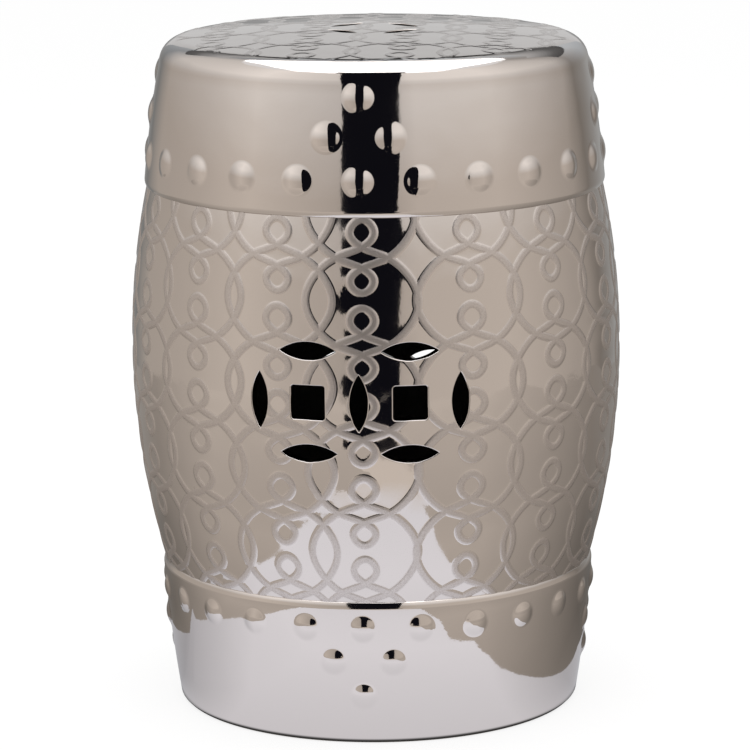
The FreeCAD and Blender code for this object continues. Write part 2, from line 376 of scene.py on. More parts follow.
def glaze_material():
    """Platinum lustre: mirror smooth and slightly uneven on the flats, and a speckled
    satin on top of the raised trellis."""
    shading = Shading("platinum_glaze_lustre")
    mark = shading.add("ShaderNodeAttribute")
    mark.attribute_name = "carved"
    carved = mark.outputs["Fac"]
    speckle = shading.noise(*SPECKLE)
    satin = shading.remap(speckle, *SATIN_SPAN, *SATIN_ROUGHNESS)
    mirror = shading.remap(shading.noise(*CLOUDS), *MIRROR_SPAN, *MIRROR_ROUGHNESS)
    specks = shading.remap(speckle, *WORN_SPAN, *WORN_SHARE)
    worn = shading.operate("MULTIPLY", carved, specks)
    wavy = shading.bump(shading.noise(*WAVES), *WAVE_BUMP)
    dimpled = shading.bump(shading.noise(*PORES), *PORE_BUMP, wavy)
    glaze = {"Metallic": 1.0,
             "Base Color": shading.mix_colours(worn, GLAZE_COLOUR, GLAZE_WORN_COLOUR),
             "Roughness": shading.mix_values(carved, mirror, satin),
             "Normal": shading.bump(speckle, GRAIN_DEPTH, carved, dimpled)}
    return shading.finish(shading.surface("ShaderNodeBsdfPrincipled", glaze))


def shaded_stoneware_material():
    """Bare fired clay on the inside, with grog specks, made nearly black: a dark clay tone with painted
    shade of the enclosed hollow.
    """
    shading = Shading("inside_stoneware_shaded")
    grog = shading.noise(*GROG)
    both = shading.operate("ADD", grog, shading.noise(*STAIN))
    ramp = shading.add("ShaderNodeValToRGB")
    for mark, at, colour in zip(ramp.color_ramp.elements, CLAY_SPAN, (SHADED_CLAY_DARK, SHADED_CLAY_LIGHT)):
        mark.position = at
        mark.color = colour
    tone = shading.feed(ramp, {"Fac": shading.operate("MULTIPLY", both, 0.5)})["Color"]
    clay = {"Base Color": tone,
            "Roughness": CLAY_ROUGHNESS,
            "Normal": shading.bump(grog, *GROG_BUMP)}
    return shading.finish(shading.surface("ShaderNodeBsdfPrincipled", clay))


# Trellis lines

def closed_spline(points, step):
    """Smooth closed line through points, sampled about every step."""
    p = np.asarray(points, float)
    n = len(p)
    gap = np.sqrt(np.linalg.norm(np.roll(p, -1, 0) - p, axis=1)) + 1e-9
    before = np.roll(gap, 1)
    grid = np.zeros((n, n))
    for i in range(n):
        grid[i, i] = 2 * (before[i] + gap[i])
        grid[i, i - 1] += before[i]
        grid[i, (i + 1) % n] += gap[i]
    rise = (np.roll(p, -1, 0) - p) / gap[:, None]
    bend = np.linalg.solve(grid, 6 * (rise - np.roll(rise, 1, 0)))
    after = np.roll(bend, -1, 0)
    ahead = np.roll(p, -1, 0)
    line = []
    for i in range(n):
        count = max(2, int(round(np.linalg.norm(ahead[i] - p[i]) / step)))
        t = (np.arange(count) / count * gap[i])[:, None]
        back = gap[i] - t
        line.append(bend[i] * back ** 3 / (6 * gap[i]) + after[i] * t ** 3 / (6 * gap[i])
                    + (p[i] / gap[i] - bend[i] * gap[i] / 6) * back
                    + (ahead[i] / gap[i] - after[i] * gap[i] / 6) * t)
    return np.vstack(line)


def cell_line(step):
    """Closed line of one trellis cell about its upper node."""
    left = [(-u, v) for u, v in reversed(CELL_HALF[1:-1])]
    return closed_spline(CELL_HALF + left, step)


def barrel_columns():
    """Unrolled positions of the trellis columns, once round."""
    out = []
    for i in range(-COLUMN_COUNT // 2, COLUMN_COUNT // 2):
        angle = COLUMN_PHASE + i * COLUMN_PITCH + COLUMN_SHIFTS.get(i, 0.0)
        out.append(math.radians(angle) * UNROLL_R)
    return out


def leaned(cell):
    """Cell with its upper part pushed outward on the left, where the pattern spreads."""
    angle = cell[:, 0] / UNROLL_R
    left = (angle < 0) & (angle > -math.pi / 2)
    high = np.clip((cell[:, 1] - LEAN_Z[0]) / LEAN_Z[1], 0.0, 1.0) ** 2
    push = math.radians(LEFT_LEAN) * UNROLL_R * np.sin(2 * angle) * high * left
    return cell + np.column_stack([push, 0 * push])


# Spacing of the points along the trellis lines, for the height and for the cuts
CARVE_STEP = 0.25
CUT_STEP = 1.6


def barrel_cells(step):
    girth = 2 * math.pi * UNROLL_R
    line = cell_line(step)
    cells = []
    for u in barrel_columns():
        for row in range(CELL_ROWS):
            for turn in (-girth, 0.0, girth):
                cells.append(leaned(line + (u + turn, TOP_NODE_Z - row * CELL_PITCH)))
    return cells


def seat_cells(step):
    line = cell_line(step)
    return [line + (u, SEAT_NODE_Y - row * CELL_PITCH)
            for u in SEAT_COLUMNS for row in range(SEAT_ROWS)]


class Carving:
    """Height of the trellis over its flat layout."""

    def __init__(self, cells, rise):
        self.rise = rise
        lines = np.vstack(cells)
        self.tree = kdtree.KDTree(len(lines))
        for i, p in enumerate(lines):
            self.tree.insert((p[0], p[1], 0.0), i)
        self.tree.balance()

    def nearest(self, points):
        found = np.array([self.tree.find((x, y, 0.0))[0][:2] for x, y in points])
        away = points - found
        gap = np.linalg.norm(away, axis=1)
        return gap, away / np.maximum(gap, 1e-6)[:, None]

    def height(self, points):
        """Height, how satin the glaze is, and slope."""
        gap, away = self.nearest(points)
        width = BAND_FOOT_HALF - BAND_TOP_HALF
        t = np.clip((BAND_FOOT_HALF - gap) / width, 0, 1)
        share = smooth_step(t)
        beyond = np.maximum(gap - BAND_TOP_HALF, 0) / POOL_REACH
        pool = np.exp(-beyond ** POOL_POWER)
        pool_fall = -POOL_POWER * pool * beyond ** (POOL_POWER - 1) / POOL_REACH
        height = self.rise * ((1 - POOL_SHARE) * share + POOL_SHARE * pool)
        fall = (1 - POOL_SHARE) * -6 * t * (1 - t) / width + POOL_SHARE * pool_fall
        satin = smooth_step((SATIN_HALF[1] - gap) / (SATIN_HALF[1] - SATIN_HALF[0]))
        return height, satin, self.rise * fall[:, None] * away


# Openings: each has its edge line and the direction out of the hole along it

ARC_POINTS = 26
CORNER_POINTS = 9
SIDE_POINTS = 8


def fan(corner, start, end, count=6):
    """One corner point with its outward direction swept from start to end degrees."""
    turn = np.radians(np.linspace(start, end, count))
    spots = np.repeat([corner], count, 0)
    return spots, np.stack([np.cos(turn), np.sin(turn)], 1)


def petal_edge(length, width):
    radius = (length ** 2 / 4 + width ** 2 / 4) / width
    half = math.degrees(math.asin(length / 2 / radius))
    drop = radius - width / 2
    spots = []
    out = []
    for side in (1, -1):
        turn = np.radians(np.linspace(90 * side - half, 90 * side + half, ARC_POINTS))
        way = np.stack([np.cos(turn), np.sin(turn)], 1)
        spots.append(way * radius - (0, side * drop))
        out.append(way)
        tip, swept = fan((-side * length / 2, 0), 90 * side + half, 90 * side + 180 - half)
        spots.append(tip[1:-1])
        out.append(swept[1:-1])
    return np.vstack(spots), np.vstack(out)


def square_edge(side, corner):
    spots = []
    out = []
    reach = side / 2 - corner
    for i, (x, y) in enumerate(((1, 1), (-1, 1), (-1, -1), (1, -1))):
        turn = np.radians(np.linspace(90 * i, 90 * i + 90, CORNER_POINTS))
        way = np.stack([np.cos(turn), np.sin(turn)], 1)
        spots.append(way * corner + (x * reach, y * reach))
        out.append(way)
        ahead = way[-1]
        along = np.array([-ahead[1], ahead[0]])
        steps = np.linspace(0, 2 * reach, SIDE_POINTS)[1:-1]
        spots.append(spots[-1][-1] + steps[:, None] * along)
        out.append(np.repeat([ahead], len(steps), 0))
    return np.vstack(spots), np.vstack(out)


def swing(edge, degrees):
    turn = math.radians(degrees)
    spin = np.array([[math.cos(turn), math.sin(turn)], [-math.sin(turn), math.cos(turn)]])
    return edge[0] @ spin, edge[1] @ spin


def onto_barrel(edge, angle, z):
    """Edge drawn on the flat at this angle, laid on the unrolled barrel."""
    spots, out = edge
    r = BARREL.at(spots[:, 1] + z)[0]
    turn = math.radians(angle) + np.arcsin(spots[:, 0] / r)
    return np.stack([turn * UNROLL_R, spots[:, 1] + z], 1), out


def window_edges(face_angle):
    flat = petal_edge(PETAL_LENGTH, PETAL_WIDTH)
    upright = swing(flat, 90)
    square = square_edge(SQUARE_SIDE, SQUARE_CORNER_R)
    edges = []
    for side in (-1, 1):
        angle = face_angle + side * COIN_ANGLE
        edges.append(onto_barrel(square, angle, COIN_Z))
        edges.append(onto_barrel(flat, angle, COIN_Z + PETAL_OFFSET))
        edges.append(onto_barrel(flat, angle, COIN_Z - PETAL_OFFSET))
    for step in (-2, 0, 2):
        edges.append(onto_barrel(upright, face_angle + step * COIN_ANGLE, COIN_Z))
    return edges


def slit_edges():
    spots, out = petal_edge(SLIT_LENGTH, SLIT_WIDTH)
    ring = (spots + (0, -SLIT_RING_R), out)
    return [swing(ring, 45 + 90 * i) for i in range(4)]


# Sheets cut into triangles along the trellis and the openings

CUT_MARGIN = 1e-4
ON_RIM = 2e-3
LINE_REACH = 1.0
RIM_REACH = 0.1
HOLE_MARGIN = 1.08
OUTSIDE_STEP = 4.0
INSIDE_STEP = 9.0
UNDER_STEP = 14.0
ROW_RATIO = 0.866
BAND_CLEARANCE = 2.0
PATCH_POINTS = 65
JAMB_TURNS = (0, 18, 36, 54, 72, 90)

# Where a band is cut along its length: 0 is the edge of its flat top and 1 is its foot
BAND_CUTS = (0.0, 0.25, 0.5, 0.75, 1.0, 1.7)


def inside(polygon, points):
    """Which points lie inside the polygon."""
    x, y = points[:, 0], points[:, 1]
    hit = np.zeros(len(points), bool)
    x0, y0 = polygon[-1]
    for x1, y1 in polygon:
        if y0 != y1:
            spans = (y0 > y) != (y1 > y)
            hit ^= spans & (x < (x1 - x0) * (y - y0) / (y1 - y0) + x0)
        x0, y0 = x1, y1
    return hit


def line_offsets(line):
    """Lines beside a trellis line, along its band's flat top, rounded side and foot."""
    along = unit(np.roll(line, -1, 0) - np.roll(line, 1, 0))
    across = np.stack([-along[:, 1], along[:, 0]], 1)
    out = []
    for share in BAND_CUTS:
        far = BAND_TOP_HALF + share * (BAND_FOOT_HALF - BAND_TOP_HALF)
        out += [line + far * across, line - far * across]
    return out


def sheet_edges(verts, outline, lines, holes):
    """Adds the points of lines and holes to verts, and returns the edges between them."""
    low = outline.min(0) - LINE_REACH
    high = outline.max(0) + LINE_REACH
    edges = []
    for line in lines:
        ahead = np.roll(line, -1, 0)
        near = np.all((line > low) & (line < high), 1) & np.all((ahead > low) & (ahead < high), 1)
        number = {}
        for i in np.nonzero(near)[0]:
            for j in (i, (i + 1) % len(line)):
                if j not in number:
                    number[j] = len(verts)
                    verts.append(Vector(line[j]))
            edges.append((number[i], number[(i + 1) % len(line)]))
    for hole in holes:
        base = len(verts)
        verts += [Vector(p) for p in hole]
        edges += [(base + i, base + (i + 1) % len(hole)) for i in range(len(hole))]
    return edges


def facing_up(points, faces):
    """The faces, all wound the same way."""
    first = points[faces[:, 0]]
    one = points[faces[:, 1]] - first
    two = points[faces[:, 2]] - first
    turned_over = one[:, 0] * two[:, 1] < two[:, 0] * one[:, 1]
    faces[turned_over] = faces[turned_over][:, ::-1]
    return faces


def cut_sheet(outline, lines, holes, fill):
    """Triangles inside outline, with the lines and the hole edges as edges."""
    verts = [Vector(p) for p in outline]
    edges = sheet_edges(verts, outline, lines, holes)
    verts += [Vector(p) for p in fill]
    made = delaunay_2d_cdt(verts, edges, [list(range(len(outline)))], 1, CUT_MARGIN, False)
    points = np.array([(v.x, v.y) for v in made[0]])
    faces = np.array(made[2])
    middle = points[faces].mean(1)
    keep = inside(outline, middle)
    for hole in holes:
        keep &= ~inside(hole, middle)
    faces = faces[keep]
    used = np.unique(faces)
    number = np.full(len(points), -1)
    number[used] = np.arange(len(used))
    return points[used], facing_up(points[used], number[faces])


def fill_points(outline, step, carving, holes, clear):
    """Staggered points inside the outline, clear of the bands and the holes."""
    low = outline.min(0)
    high = outline.max(0)
    xs = np.arange(low[0] + step / 2, high[0], step)
    ys = np.arange(low[1] + step / 2, high[1], step * ROW_RATIO)
    grid = np.array([(x + (j % 2) * step / 2, y) for j, y in enumerate(ys) for x in xs])
    grid = grid[inside(outline, grid)]
    if carving is not None:
        grid = grid[carving.nearest(grid)[0] > BAND_FOOT_HALF + clear]
    for hole in holes:
        centre = hole.mean(0)
        grown = centre + (hole - centre) * HOLE_MARGIN
        grid = grid[~inside(grown, grid)]
    return grid


def grow(edge, reach):
    return edge[0] + reach * edge[1]


def rim_order(points, polygon):
    """Points that lie on the polygon's line, in order, and how far along each one is."""
    ahead = np.roll(polygon, -1, 0)
    side = ahead - polygon
    length = (side ** 2).sum(1)
    low = polygon.min(0) - RIM_REACH
    high = polygon.max(0) + RIM_REACH
    near = np.nonzero(np.all((points > low) & (points < high), 1))[0]
    found = []
    for i in near:
        t = np.clip(((points[i] - polygon) * side).sum(1) / length, 0, 1)
        gap = np.linalg.norm(polygon + t[:, None] * side - points[i], axis=1)
        k = int(gap.argmin())
        if gap[k] < ON_RIM:
            found.append((k + t[k], i))
    found.sort()
    return np.array([f[1] for f in found]), np.array([f[0] for f in found])


def along_edge(values, position):
    """Values at fractional positions along a closed edge."""
    k = np.floor(position).astype(int) % len(values)
    t = (position - np.floor(position))[:, None]
    return values[k] * (1 - t) + values[(k + 1) % len(values)] * t


def jamb(place, edge, spots, heights, position, depth, radius):
    """Rows of points from the face of a hole's rounded edge to the far side of the wall."""
    true = along_edge(edge[0], position)
    out = unit(along_edge(edge[1], position))
    rows = []
    for turn in np.radians(JAMB_TURNS):
        q = true + out * radius * (1 - math.sin(turn))
        if turn == 0:
            q = spots
        down = radius * (1 - math.cos(turn)) - heights * math.cos(turn)
        lean = (radius + heights) * math.sin(turn)
        rise = np.full(len(heights), radius * math.cos(turn))
        rows.append(place(q, -down, out, lean, rise))
    rows.append(place(true, np.full(len(heights), -depth), out, radius, 0.0 * heights))
    return rows, true


def stitch(count, rows):
    """Quads between closed rows of points."""
    faces = []
    for row in range(rows - 1):
        for i in range(count):
            j = (i + 1) % count
            faces.append((row * count + i, row * count + j,
                          (row + 1) * count + j, (row + 1) * count + i))
    return faces


def barrel_place(q, height, out, lean, rise):
    """Points over the barrel's surface at q, and normals that lean into the hole."""
    angle = q[:, 0] / UNROLL_R
    place, normal = on_wall(BARREL, angle, q[:, 1], height)
    across = np.stack([np.cos(angle), np.sin(angle), 0 * angle], 1)
    r, flat, up = BARREL.at(q[:, 1])
    climb = np.stack([-up * np.sin(angle), up * np.cos(angle), flat], 1)
    inward = -(out[:, :1] * across + out[:, 1:] * climb)
    return place, unit(inward * column(lean) + normal * column(rise))


def barrel_patch(centre_angle):
    """Outline of a quarter of the unrolled barrel, a little past both bands."""
    reach = math.radians(45) * UNROLL_R
    middle = math.radians(centre_angle) * UNROLL_R
    low = BARREL_BASE[1] - BARREL_OVERLAP
    high = BARREL_TOP[1] + BARREL_OVERLAP
    columns = np.linspace(middle - reach, middle + reach, PATCH_POINTS)
    rows = np.linspace(low, high, PATCH_POINTS)
    return np.vstack([np.stack([columns[:-1], 0 * columns[:-1] + low], 1),
                      np.stack([0 * rows[:-1] + columns[-1], rows[:-1]], 1),
                      np.stack([columns[:0:-1], 0 * columns[1:] + high], 1),
                      np.stack([0 * rows[1:] + columns[0], rows[:0:-1]], 1)])


def barrel_side(name, centre_angle, edges, carving, lines, glaze, clay):
    """A quarter of the barrel: carved outside, jambs of the openings, plain inside."""
    outline = barrel_patch(centre_angle)
    holes = [grow(e, EDGE_R) for e in edges]
    fill = fill_points(outline, OUTSIDE_STEP, carving, holes, BAND_CLEARANCE)
    points, faces = cut_sheet(outline, lines, holes, fill)
    height, share, slope = carving.height(points)
    r, across, up = BARREL.at(points[:, 1])
    steep = np.stack([slope[:, 0] * UNROLL_R / r, slope[:, 1] * across], 1)
    place, normal = on_wall(BARREL, points[:, 0] / UNROLL_R, points[:, 1], height, steep)
    parts = Parts()
    parts.add(place, normal, faces.tolist(), share)
    inner_holes = []
    for edge, hole in zip(edges, holes):
        order, position = rim_order(points, hole)
        rows, true = jamb(barrel_place, edge, points[order], height[order], position, WALL, EDGE_R)
        inner_holes.append(true)
        parts.add_rows(rows)
    fill = fill_points(outline, INSIDE_STEP, None, inner_holes, 0)
    points, faces = cut_sheet(outline, [], inner_holes, fill)
    back, normal = on_wall(BARREL, points[:, 0] / UNROLL_R, points[:, 1], np.full(len(points), -WALL))
    parts.add(back, -normal, faces[:, ::-1].tolist(), slot=1)
    parts.make(name, [glaze, clay], ["barrel_wall", "barrel_trellis"])


# Turned bands and seat

TURN_STEPS = 320
PROFILE_STEP = 0.4
WALL_POINTS = 60
LIP_POINTS = 12
BEND_POINTS = 24
FOOT_SOFTNESS = 0.6
TOP_SOFTNESS = 0.7
FOOT_INSIDE_CHAMFER = (1.3, 2.0)
SEAM_DEPTH = 2.5
SEAM_LIFT = 0.6
LIP_PROUD = 0.1
SEAT_UNDER_INSET = 4.0
SLIT_UNDER_GAP = 0.3
FOOT_BACK_FACING = (-1.0, 0.06)
SHOULDER_BACK_FACING = (-1.0, 0.1)
SEAT_BACK_FACING = (-0.6, -0.8)


def rounded(points, spread):
    """Profile resampled evenly and softened at its corners, with its normals."""
    p = np.asarray(points, float)
    step = PROFILE_STEP
    length = np.concatenate([[0], np.cumsum(np.linalg.norm(np.diff(p, axis=0), axis=1))])
    even = np.linspace(0, length[-1], int(length[-1] / step) + 1)
    fine = np.stack([np.interp(even, length, p[:, 0]), np.interp(even, length, p[:, 1])], 1)
    width = int(3 * spread / step)
    weights = np.exp(-0.5 * (np.arange(-width, width + 1) * step / spread) ** 2)
    weights /= weights.sum()
    first = 2 * fine[0] - fine[width:0:-1]
    last = 2 * fine[-1] - fine[-2:-width - 2:-1]
    padded = np.vstack([first, fine, last])
    soft = np.stack([np.convolve(padded[:, k], weights, "valid") for k in (0, 1)], 1)
    along = unit(np.gradient(soft, axis=0))
    return soft, np.stack([along[:, 1], -along[:, 0]], 1)


def thinned(soft, normals, turn=2.5, reach=9.0):
    """Fewer profile points, closer where the profile bends."""
    keep = [0]
    for i in range(1, len(soft) - 1):
        bend = normals[i] @ normals[keep[-1]] < math.cos(math.radians(turn))
        if bend or np.linalg.norm(soft[i] - soft[keep[-1]]) > reach:
            keep.append(i)
    keep.append(len(soft) - 1)
    return soft[keep], normals[keep]


def turned(profile, normals):
    """Surface turned from an upward profile whose outside is on its right."""
    angle = np.linspace(0, 2 * math.pi, TURN_STEPS, endpoint=False)
    s = np.sin(angle)
    c = np.cos(angle)
    points = np.vstack([np.stack([r * s, -r * c, 0 * s + z], 1) for r, z in profile])
    facing = np.vstack([np.stack([a * s, -a * c, 0 * s + b], 1) for a, b in normals])
    return points, facing, stitch(TURN_STEPS, len(profile))


def add_inside(parts, top, low, facing):
    """Bare clay turned between two points of the section, facing the axis."""
    parts.add(*turned([top, low], [facing, facing]), slot=1)


def foot_profile():
    """Foot's section from inside the rim, round it and up the wall to the seam."""
    chamfer, rise = FOOT_INSIDE_CHAMFER
    inside_r = RIM_OUT[0] - WALL
    inner = [(inside_r, RIM_OUT[1] + rise), (inside_r, RIM_OUT[1]), (inside_r + chamfer, 0.0), RIM_LOW]
    wall = FOOT.points(WALL_POINTS)
    wall = wall[wall[:, 1] < BARREL_BASE[1] - LIP_REACH]
    lip = Arc(tuple(wall[-1]), (BARREL_BASE[0] + LIP_PROUD, BARREL_BASE[1]), LIP_ROLL).points(LIP_POINTS)
    seam = (BARREL_BASE[0] - SEAM_DEPTH, BARREL_BASE[1] + SEAM_LIFT)
    return rounded([*inner, *wall, *lip[1:], seam], FOOT_SOFTNESS)


def foot_ring(glaze, clay):
    parts = Parts()
    parts.add(*turned(*thinned(*foot_profile())))
    low = (RIM_OUT[0] - WALL, RIM_OUT[1] + FOOT_INSIDE_CHAMFER[1])
    add_inside(parts, (BARREL_BASE[0] - WALL, BARREL_BASE[1]), low, FOOT_BACK_FACING)
    parts.make("foot_ring", [glaze, clay], ["foot_band"])


def upper_profile():
    """Section from the barrel's top up the shoulder, over the corner and in to the crown."""
    wall = SHOULDER.points(WALL_POINTS)
    wall = wall[wall[:, 1] > BARREL_TOP[1] + LIP_REACH]
    lip = Arc((BARREL_TOP[0] + LIP_PROUD, BARREL_TOP[1]), tuple(wall[0]), LIP_ROLL).points(LIP_POINTS)
    corner = Arc(SHOULDER_TOP, SEAT_EDGE, CORNER_BULGE).points(BEND_POINTS)
    r = np.linspace(SEAT_EDGE[0], 0, WALL_POINTS)[1:]
    rise = SEAT_TOP_Z - SEAT_EDGE[1]
    ball = (SEAT_EDGE[0] ** 2 + rise ** 2) / (2 * rise)
    crown = np.stack([r, SEAT_TOP_Z - ball + np.sqrt(ball ** 2 - r ** 2)], 1)
    seam = (BARREL_TOP[0] - SEAM_DEPTH, BARREL_TOP[1] - SEAM_LIFT)
    return rounded(np.vstack([[seam], lip, wall[1:], corner[1:], crown]), TOP_SOFTNESS)


def shoulder_end(soft):
    """Where along the upper section the shoulder ends and the seat's corner starts."""
    return int(np.argmin(np.linalg.norm(soft - SHOULDER_TOP, axis=1)))


def shoulder_ring(glaze, clay, profile):
    soft, normals = profile
    split = shoulder_end(soft)
    parts = Parts()
    parts.add(*turned(*thinned(soft[:split + 1], normals[:split + 1])))
    low = (BARREL_TOP[0] - WALL, BARREL_TOP[1])
    add_inside(parts, (SHOULDER_TOP[0] - WALL, SHOULDER_TOP[1]), low, SHOULDER_BACK_FACING)
    parts.make("shoulder_ring", [glaze, clay], ["shoulder_band"])


class Crown:
    """The seat's smooth top, by radius."""

    def __init__(self, soft, normals):
        self.r = soft[:, 0][::-1]
        self.z = soft[:, 1][::-1]
        self.tilt = normals[:, 0][::-1]

    def place(self, q, height, out, lean, rise):
        """Points over the crown at q, and normals that lean into the hole."""
        r = np.hypot(q[:, 0], q[:, 1])
        outward = q / np.maximum(r, 1e-6)[:, None]
        tilt = np.interp(r, self.r, self.tilt)
        normal = np.column_stack([outward * tilt[:, None], np.sqrt(1 - tilt ** 2)])
        base = np.column_stack([q, np.interp(r, self.r, self.z)])
        inward = -np.column_stack([out, 0 * r])
        mixed = unit(inward * column(lean) + normal * column(rise))
        return base + normal * column(height), mixed


def circle(radius):
    turn = np.linspace(0, 2 * math.pi, TURN_STEPS, endpoint=False)
    return np.stack([radius * np.sin(turn), -radius * np.cos(turn)], 1)


def carved_seat(parts, crown, outline):
    """Carved top with the jambs of its four slits, whose lower outlines it returns."""
    edges = slit_edges()
    holes = [grow(e, SLIT_EDGE_R) for e in edges]
    carving = Carving(seat_cells(CARVE_STEP), SEAT_BAND_RISE)
    lines = [far for cell in seat_cells(CUT_STEP) for far in line_offsets(cell)]
    fill = fill_points(outline, OUTSIDE_STEP, carving, holes, BAND_CLEARANCE)
    points, faces = cut_sheet(outline, lines, holes, fill)
    height, share, slope = carving.height(points)
    r = np.hypot(points[:, 0], points[:, 1])
    fade = 1 - smooth_step((r - SEAT_FADE[0]) / (SEAT_FADE[1] - SEAT_FADE[0]))
    height = height * fade
    place, normal = crown.place(points, height, 0 * points, 0 * r, 1 + 0 * r)
    normal[:, :2] -= slope * fade[:, None]
    parts.add(place, unit(normal), faces.tolist(), share * fade * SEAT_SATIN)
    depth = SEAT_TOP_Z - SEAT_UNDER_Z - SLIT_UNDER_GAP
    inner_holes = []
    for edge, hole in zip(edges, holes):
        order, position = rim_order(points, hole)
        rows, true = jamb(crown.place, edge, points[order], height[order], position, depth,
                          SLIT_EDGE_R)
        rows[-1][0][:, 2] = SEAT_UNDER_Z
        inner_holes.append(rows[-1][0][:, :2])
        parts.add_rows(rows)
    return inner_holes


def seat_piece(glaze, clay, profile):
    """Rounded edge, carved top with its four slits, and flat underside."""
    soft, normals = profile
    start = shoulder_end(soft)
    end = int(np.argmin(np.abs(soft[start:, 0] - SEAT_SHEET_R))) + start
    parts = Parts()
    parts.add(*turned(*thinned(soft[start:end + 1], normals[start:end + 1])))
    slits = carved_seat(parts, Crown(soft[end:], normals[end:]), circle(soft[end][0]))
    under_r = SEAT_EDGE[0] - SEAT_UNDER_INSET
    outline = circle(under_r)
    fill = fill_points(outline, UNDER_STEP, None, slits, 0)
    points, faces = cut_sheet(outline, [], slits, fill)
    flat = np.column_stack([points, np.full(len(points), SEAT_UNDER_Z)])
    parts.add(flat, np.repeat([(0, 0, -1.0)], len(points), 0), faces[:, ::-1].tolist(), slot=1)
    low = (SHOULDER_TOP[0] - WALL, SHOULDER_TOP[1])
    add_inside(parts, (under_r, SEAT_UNDER_Z), low, SEAT_BACK_FACING)
    parts.make("seat_top", [glaze, clay], ["seat_slab"])


# Studs

STUD_SPOKES = 36
STUD_RINGS = 9
STUD_BEND = (1.6, 1.2)
STUD_SKIRT = 2.0
STUD_BURIED = 0.1
SLOPE_STEP = 0.01


def stud_height(reach, radius):
    """Height of the flat-topped dome at a distance from its middle."""
    cap = STUD_RISE * (1 - (np.abs(reach) / radius) ** STUD_POWER)
    return (cap + np.sqrt(cap ** 2 + STUD_FILLET ** 2)) / 2


def stud_dome(parts, arc, radius, angle, z):
    """Dome on a wall, with a small fillet round its foot and its last ring in the wall."""
    skirt = radius + STUD_SKIRT
    rings = np.concatenate([np.linspace(0, radius - STUD_BEND[0], STUD_RINGS)[1:],
                            np.linspace(radius - STUD_BEND[1], skirt, STUD_RINGS)])
    spokes = np.linspace(0, 2 * math.pi, STUD_SPOKES, endpoint=False)
    far = np.repeat(rings, STUD_SPOKES)
    turn = np.tile(spokes, len(rings))
    height = stud_height(far, radius)
    climb = stud_height(far + SLOPE_STEP, radius) - stud_height(far - SLOPE_STEP, radius)
    steep = climb / (2 * SLOPE_STEP)
    last = far > skirt - SLOPE_STEP
    height[last] = -STUD_BURIED
    steep[last] = 0.0
    slope = np.stack([steep * np.cos(turn), steep * np.sin(turn)], 1)
    up = z + far * np.sin(turn) * arc.at(z)[1]
    wide = np.radians(angle) + far * np.cos(turn) / arc.at(up)[0]
    tip, tip_normal = on_wall(arc, np.array([np.radians(angle)]), np.array([z]),
                              stud_height(np.zeros(1), radius))
    place, normal = on_wall(arc, wide, up, height, slope)
    faces = [(0, 1 + i, 1 + (i + 1) % STUD_SPOKES) for i in range(STUD_SPOKES)]
    faces += [(1 + a, 1 + d, 1 + c, 1 + b) for a, b, c, d in stitch(STUD_SPOKES, len(rings))]
    parts.add(np.vstack([tip, place]), np.vstack([tip_normal, normal]), faces)


def stud_piece(name, node, arc, radius, spots, glaze):
    parts = Parts()
    for angle, z in spots:
        stud_dome(parts, arc, radius, angle, z)
    parts.make(name, [glaze], [node])


def row_spots(z):
    return [(i * 360.0 / STUD_COUNT, z) for i in range(STUD_COUNT)]


def pendant_spots(pair_z, apex_z):
    spots = []
    for angle in (0, 90, 180, 270):
        spots += [(angle - PENDANT_SPREAD, pair_z), (angle + PENDANT_SPREAD, pair_z)]
        spots.append((angle, apex_z))
    return spots


def build_stool():
    glaze = glaze_material()
    clay = shaded_stoneware_material()
    carving = Carving(barrel_cells(CARVE_STEP), BAND_RISE)
    lines = [far for cell in barrel_cells(CUT_STEP) for far in line_offsets(cell)]
    for name, angle, edges in (("barrel_front", 0, window_edges(0)),
                               ("barrel_right", 90, []),
                               ("barrel_back", 180, window_edges(180)),
                               ("barrel_left", -90, [])):
        barrel_side(name, angle, edges, carving, lines, glaze, clay)
    foot_ring(glaze, clay)
    profile = upper_profile()
    shoulder_ring(glaze, clay, profile)
    seat_piece(glaze, clay, profile)
    for band, arc, radius, heights in (("shoulder", SHOULDER, SHOULDER_STUD_R, SHOULDER_STUD_Z),
                                       ("foot", FOOT, FOOT_STUD_R, FOOT_STUD_Z)):
        row = row_spots(heights[0])
        pendants = pendant_spots(heights[1], heights[2])
        stud_piece(band + "_studs", band + "_stud_row", arc, radius, row, glaze)
        stud_piece(band + "_pendants", band + "_stud_pendants", arc, radius, pendants, glaze)


# Studio: floor, cards that only reflections see, and soft light

WHITE = (1.0, 1.0, 1.0)
DARK = (0.006, 0.006, 0.009)

WARM = (1.0, 0.9, 0.8)
PALE = (1.0, 0.95, 0.9)
LILAC = (0.95, 0.95, 1.0)
COOL = (0.9, 1.0, 1.1)


def dim(colour, share):
    return tuple(share * part for part in colour)


# Tones that reflections see: by height on the walls, by distance on the floor, both in metres,
# and multiplied by a tint for the azimuth, in degrees to the right of the camera's side.
# A single number is a grey.
WALL_TONES = ((0.0, dim(WARM, 0.7)), (0.4, dim(WARM, 0.7)), (0.65, dim(PALE, 0.9)),
              (0.9, dim(PALE, 1.1)))
WALL_TINTS = ((-180, dim(COOL, 0.6)), (-150, dim(COOL, 0.35)), (-130, 0.7), (-90, 0.85),
              (-60, 1.05), (-20, 0.8), (0, 0.65), (20, 0.95), (60, 1.0), (110, 0.65),
              (125, 0.35), (150, dim(COOL, 0.6)))
FLOOR_TONES = ((0.25, dim(WARM, 0.65)), (0.45, dim(WARM, 0.55)), (1.1, dim(WARM, 0.7)))
FLOOR_TINTS = ((-180, dim(COOL, 0.5)), (-120, 0.55), (-75, 1.0), (45, 1.0), (115, 0.45),
               (180, dim(COOL, 0.5)))
